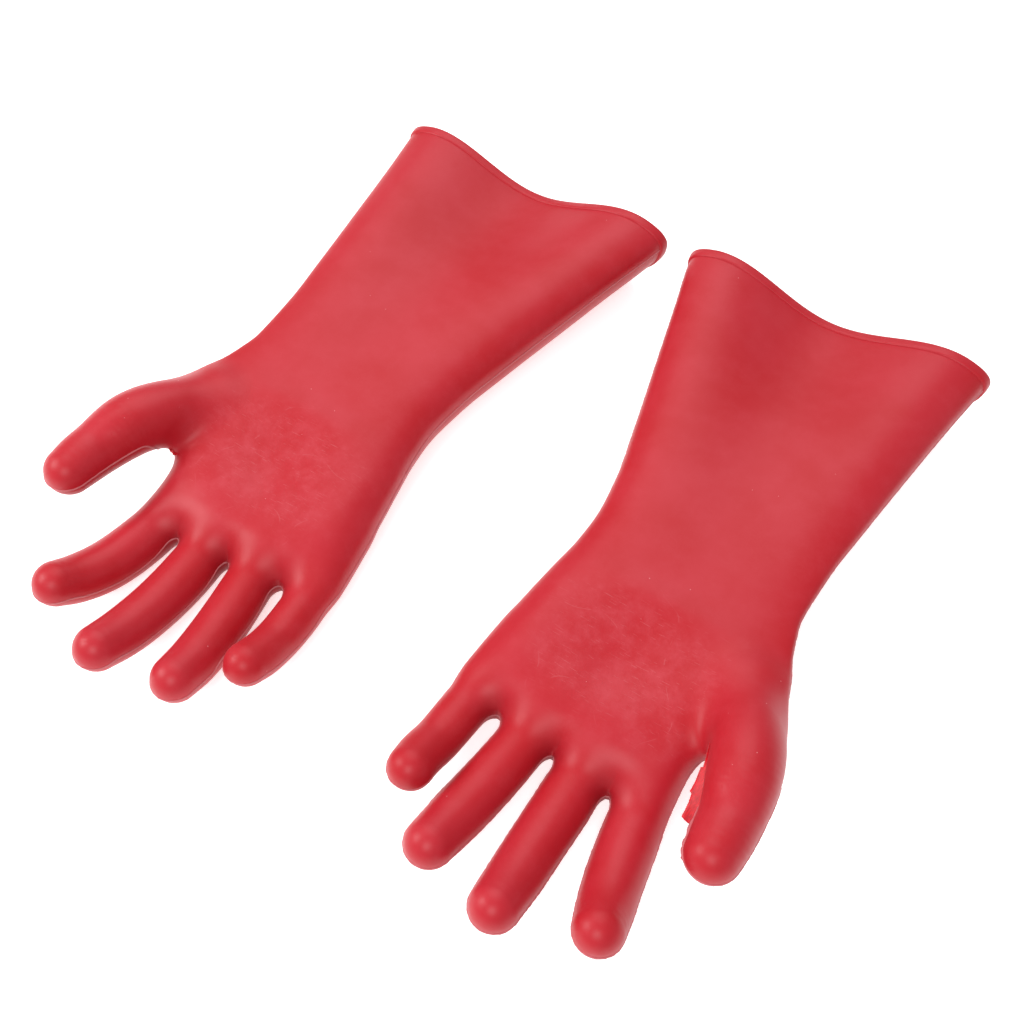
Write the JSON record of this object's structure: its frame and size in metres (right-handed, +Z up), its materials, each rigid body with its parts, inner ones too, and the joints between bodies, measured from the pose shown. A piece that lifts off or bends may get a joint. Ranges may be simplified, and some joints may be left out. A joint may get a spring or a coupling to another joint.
{
  "type": "electrical insulating gloves",
  "caption": "Pair of long moulded rubber gloves with flared beaded cuffs and curled fingers, lying palm up; wrists, fingers and thumbs bend.",
  "frame": {"origin": "centre of the pair on the surface that the gloves lie on", "axes": "+Z up out of the palms; +Y towards the cuffs and -Y towards the fingertips; +X towards the left-hand glove, thumbs outwards"},
  "size_m": [0.3822, 0.3799, 0.0633],
  "materials": {
    "rubber_body": "satin-matte moulded rubber",
    "rubber_hand": "satin-matte moulded rubber, lightly scuffed and powdery on the palm",
    "rubber_stall": "satin moulded rubber, a little glossier at the tips",
    "rubber_fold": "satin moulded rubber at the bends",
    "rubber_bead": "satin rubber, thicker rim",
    "rubber_flash": "thin torn rubber skin"
  },
  "bodies": {
    "right_sleeve": {"right_cuff_bead": "rubber_bead", "right_sleeve": "rubber_body", "right_wrist_fold": "rubber_fold"},
    "right_hand": {"right_hand": "rubber_hand", "right_thumb_flash": "rubber_flash"},
    "right_index_base": {"right_index_root_fold": "rubber_fold", "right_index_base": "rubber_stall", "right_index_middle_fold": "rubber_fold"},
    "right_index_tip": {"right_index_tip": "rubber_stall"},
    "right_middle_base": {"right_middle_root_fold": "rubber_fold", "right_middle_base": "rubber_stall", "right_middle_middle_fold": "rubber_fold"},
    "right_middle_tip": {"right_middle_tip": "rubber_stall"},
    "right_ring_base": {"right_ring_root_fold": "rubber_fold", "right_ring_base": "rubber_stall", "right_ring_middle_fold": "rubber_fold"},
    "right_ring_tip": {"right_ring_tip": "rubber_stall"},
    "right_little_base": {"right_little_root_fold": "rubber_fold", "right_little_base": "rubber_stall", "right_little_middle_fold": "rubber_fold"},
    "right_little_tip": {"right_little_tip": "rubber_stall"},
    "right_thumb_base": {"right_thumb_root_fold": "rubber_fold", "right_thumb_base": "rubber_stall", "right_thumb_middle_fold": "rubber_fold"},
    "right_thumb_tip": {"right_thumb_tip": "rubber_stall"},
    "left_sleeve": {"left_cuff_bead": "rubber_bead", "left_sleeve": "rubber_body", "left_wrist_fold": "rubber_fold"},
    "left_hand": {"left_hand": "rubber_hand"},
    "left_index_base": {"left_index_root_fold": "rubber_fold", "left_index_base": "rubber_stall", "left_index_middle_fold": "rubber_fold"},
    "left_index_tip": {"left_index_tip": "rubber_stall"},
    "left_middle_base": {"left_middle_root_fold": "rubber_fold", "left_middle_base": "rubber_stall", "left_middle_middle_fold": "rubber_fold"},
    "left_middle_tip": {"left_middle_tip": "rubber_stall"},
    "left_ring_base": {"left_ring_root_fold": "rubber_fold", "left_ring_base": "rubber_stall", "left_ring_middle_fold": "rubber_fold"},
    "left_ring_tip": {"left_ring_tip": "rubber_stall"},
    "left_little_base": {"left_little_root_fold": "rubber_fold", "left_little_base": "rubber_stall", "left_little_middle_fold": "rubber_fold"},
    "left_little_tip": {"left_little_tip": "rubber_stall"},
    "left_thumb_base": {"left_thumb_root_fold": "rubber_fold", "left_thumb_base": "rubber_stall", "left_thumb_middle_fold": "rubber_fold", "left_thumb_flash": "rubber_flash"},
    "left_thumb_tip": {"left_thumb_tip": "rubber_stall"}
  },
  "joints": [
    {"name": "pair_slide", "type": "slide", "parent": "right_sleeve", "child": "left_sleeve", "axis": [1, 0, 0], "range_m": [0, 0.15]},
    {"name": "right_wrist_bend", "type": "hinge", "parent": "right_sleeve", "child": "right_hand", "pos_m": [-0.1065, 0, 0.023], "axis": [-1, 0, 0], "range_deg": [-25, 30], "stiffness_Nm_per_rad": 5, "deforming": ["right_wrist_fold"]},
    {"name": "right_index_root_bend", "type": "hinge", "parent": "right_hand", "child": "right_index_base", "pos_m": [-0.1423, -0.116, 0.0132], "axis": [-0.9858, 0.1678, 0], "range_deg": [-15, 30], "stiffness_Nm_per_rad": 0.3, "deforming": ["right_index_root_fold"]},
    {"name": "right_index_middle_bend", "type": "hinge", "parent": "right_index_base", "child": "right_index_tip", "pos_m": [-0.1463, -0.1395, 0.0158], "axis": [-0.973, 0.2307, 0], "range_deg": [-20, 39.5], "stiffness_Nm_per_rad": 0.3, "deforming": ["right_index_middle_fold"]},
    {"name": "right_middle_root_bend", "type": "hinge", "parent": "right_hand", "child": "right_middle_base", "pos_m": [-0.11, -0.116, 0.0136], "axis": [-0.9999, -0.0115, 0], "range_deg": [-15, 30], "stiffness_Nm_per_rad": 0.3, "deforming": ["right_middle_root_fold"]},
    {"name": "right_middle_middle_bend", "type": "hinge", "parent": "right_middle_base", "child": "right_middle_tip", "pos_m": [-0.1097, -0.142, 0.016], "axis": [-0.9997, 0.0244, 0], "range_deg": [-20, 39.5], "stiffness_Nm_per_rad": 0.3, "deforming": ["right_middle_middle_fold"]},
    {"name": "right_ring_root_bend", "type": "hinge", "parent": "right_hand", "child": "right_ring_base", "pos_m": [-0.0785, -0.115, 0.015], "axis": [-0.9909, -0.1348, 0], "range_deg": [-15, 30], "stiffness_Nm_per_rad": 0.3, "deforming": ["right_ring_root_fold"]},
    {"name": "right_ring_middle_bend", "type": "hinge", "parent": "right_ring_base", "child": "right_ring_tip", "pos_m": [-0.0751, -0.14, 0.0158], "axis": [-0.9937, -0.1123, 0], "range_deg": [-20, 39.5], "stiffness_Nm_per_rad": 0.3, "deforming": ["right_ring_middle_fold"]},
    {"name": "right_little_root_bend", "type": "hinge", "parent": "right_hand", "child": "right_little_base", "pos_m": [-0.0475, -0.1115, 0.017], "axis": [-0.9985, -0.0545, 0], "range_deg": [-15, 30], "stiffness_Nm_per_rad": 0.3, "deforming": ["right_little_root_fold"]},
    {"name": "right_little_middle_bend", "type": "hinge", "parent": "right_little_base", "child": "right_little_tip", "pos_m": [-0.0466, -0.128, 0.0195], "axis": [-1, 0, 0], "range_deg": [-20, 39.5], "stiffness_Nm_per_rad": 0.3, "deforming": ["right_little_middle_fold"]},
    {"name": "right_thumb_root_bend", "type": "hinge", "parent": "right_hand", "child": "right_thumb_base", "pos_m": [-0.1725, -0.0805, 0.047], "axis": [-0.5938, 0.1431, 0.7918], "range_deg": [-8, 18], "stiffness_Nm_per_rad": 0.3, "deforming": ["right_thumb_root_fold"]},
    {"name": "right_thumb_middle_bend", "type": "hinge", "parent": "right_thumb_base", "child": "right_thumb_tip", "pos_m": [-0.1768, -0.1, 0.0473], "axis": [-0.5963, 0.1102, 0.7951], "range_deg": [-10.5, 23.5], "stiffness_Nm_per_rad": 0.3, "deforming": ["right_thumb_middle_fold"]},
    {"name": "left_wrist_bend", "type": "hinge", "parent": "left_sleeve", "child": "left_hand", "pos_m": [0.1065, 0, 0.023], "axis": [-1, 0, 0], "range_deg": [-25, 30], "stiffness_Nm_per_rad": 5, "deforming": ["left_wrist_fold"]},
    {"name": "left_index_root_bend", "type": "hinge", "parent": "left_hand", "child": "left_index_base", "pos_m": [0.1423, -0.116, 0.0132], "axis": [-0.9858, -0.1678, 0], "range_deg": [-15, 30], "stiffness_Nm_per_rad": 0.3, "deforming": ["left_index_root_fold"]},
    {"name": "left_index_middle_bend", "type": "hinge", "parent": "left_index_base", "child": "left_index_tip", "pos_m": [0.1463, -0.1395, 0.0158], "axis": [-0.973, -0.2307, 0], "range_deg": [-20, 39.5], "stiffness_Nm_per_rad": 0.3, "deforming": ["left_index_middle_fold"]},
    {"name": "left_middle_root_bend", "type": "hinge", "parent": "left_hand", "child": "left_middle_base", "pos_m": [0.11, -0.116, 0.0136], "axis": [-0.9999, 0.0115, 0], "range_deg": [-15, 30], "stiffness_Nm_per_rad": 0.3, "deforming": ["left_middle_root_fold"]},
    {"name": "left_middle_middle_bend", "type": "hinge", "parent": "left_middle_base", "child": "left_middle_tip", "pos_m": [0.1097, -0.142, 0.016], "axis": [-0.9997, -0.0244, 0], "range_deg": [-20, 39.5], "stiffness_Nm_per_rad": 0.3, "deforming": ["left_middle_middle_fold"]},
    {"name": "left_ring_root_bend", "type": "hinge", "parent": "left_hand", "child": "left_ring_base", "pos_m": [0.0785, -0.115, 0.015], "axis": [-0.9909, 0.1348, 0], "range_deg": [-15, 30], "stiffness_Nm_per_rad": 0.3, "deforming": ["left_ring_root_fold"]},
    {"name": "left_ring_middle_bend", "type": "hinge", "parent": "left_ring_base", "child": "left_ring_tip", "pos_m": [0.0751, -0.14, 0.0158], "axis": [-0.9937, 0.1123, 0], "range_deg": [-20, 39.5], "stiffness_Nm_per_rad": 0.3, "deforming": ["left_ring_middle_fold"]},
    {"name": "left_little_root_bend", "type": "hinge", "parent": "left_hand", "child": "left_little_base", "pos_m": [0.0475, -0.1115, 0.017], "axis": [-0.9985, 0.0545, 0], "range_deg": [-15, 30], "stiffness_Nm_per_rad": 0.3, "deforming": ["left_little_root_fold"]},
    {"name": "left_little_middle_bend", "type": "hinge", "parent": "left_little_base", "child": "left_little_tip", "pos_m": [0.0466, -0.128, 0.0195], "axis": [-1, 0, 0], "range_deg": [-20, 39.5], "stiffness_Nm_per_rad": 0.3, "deforming": ["left_little_middle_fold"]},
    {"name": "left_thumb_root_bend", "type": "hinge", "parent": "left_hand", "child": "left_thumb_base", "pos_m": [0.1725, -0.0805, 0.047], "axis": [-0.5938, -0.1431, -0.7918], "range_deg": [-8, 18], "stiffness_Nm_per_rad": 0.3, "deforming": ["left_thumb_root_fold"]},
    {"name": "left_thumb_middle_bend", "type": "hinge", "parent": "left_thumb_base", "child": "left_thumb_tip", "pos_m": [0.1768, -0.1, 0.0473], "axis": [-0.5963, -0.1102, -0.7951], "range_deg": [-10.5, 23.5], "stiffness_Nm_per_rad": 0.3, "deforming": ["left_thumb_middle_fold", "left_thumb_flash"]}
  ],
  "couplings": [
    {"joint": "right_index_middle_bend", "follows": "right_index_root_bend", "ratio": 1.3},
    {"joint": "right_middle_middle_bend", "follows": "right_middle_root_bend", "ratio": 1.3},
    {"joint": "right_ring_middle_bend", "follows": "right_ring_root_bend", "ratio": 1.3},
    {"joint": "right_little_middle_bend", "follows": "right_little_root_bend", "ratio": 1.3},
    {"joint": "right_thumb_middle_bend", "follows": "right_thumb_root_bend", "ratio": 1.3},
    {"joint": "left_index_middle_bend", "follows": "left_index_root_bend", "ratio": 1.3},
    {"joint": "left_middle_middle_bend", "follows": "left_middle_root_bend", "ratio": 1.3},
    {"joint": "left_ring_middle_bend", "follows": "left_ring_root_bend", "ratio": 1.3},
    {"joint": "left_little_middle_bend", "follows": "left_little_root_bend", "ratio": 1.3},
    {"joint": "left_thumb_middle_bend", "follows": "left_thumb_root_bend", "ratio": 1.3}
  ]
}
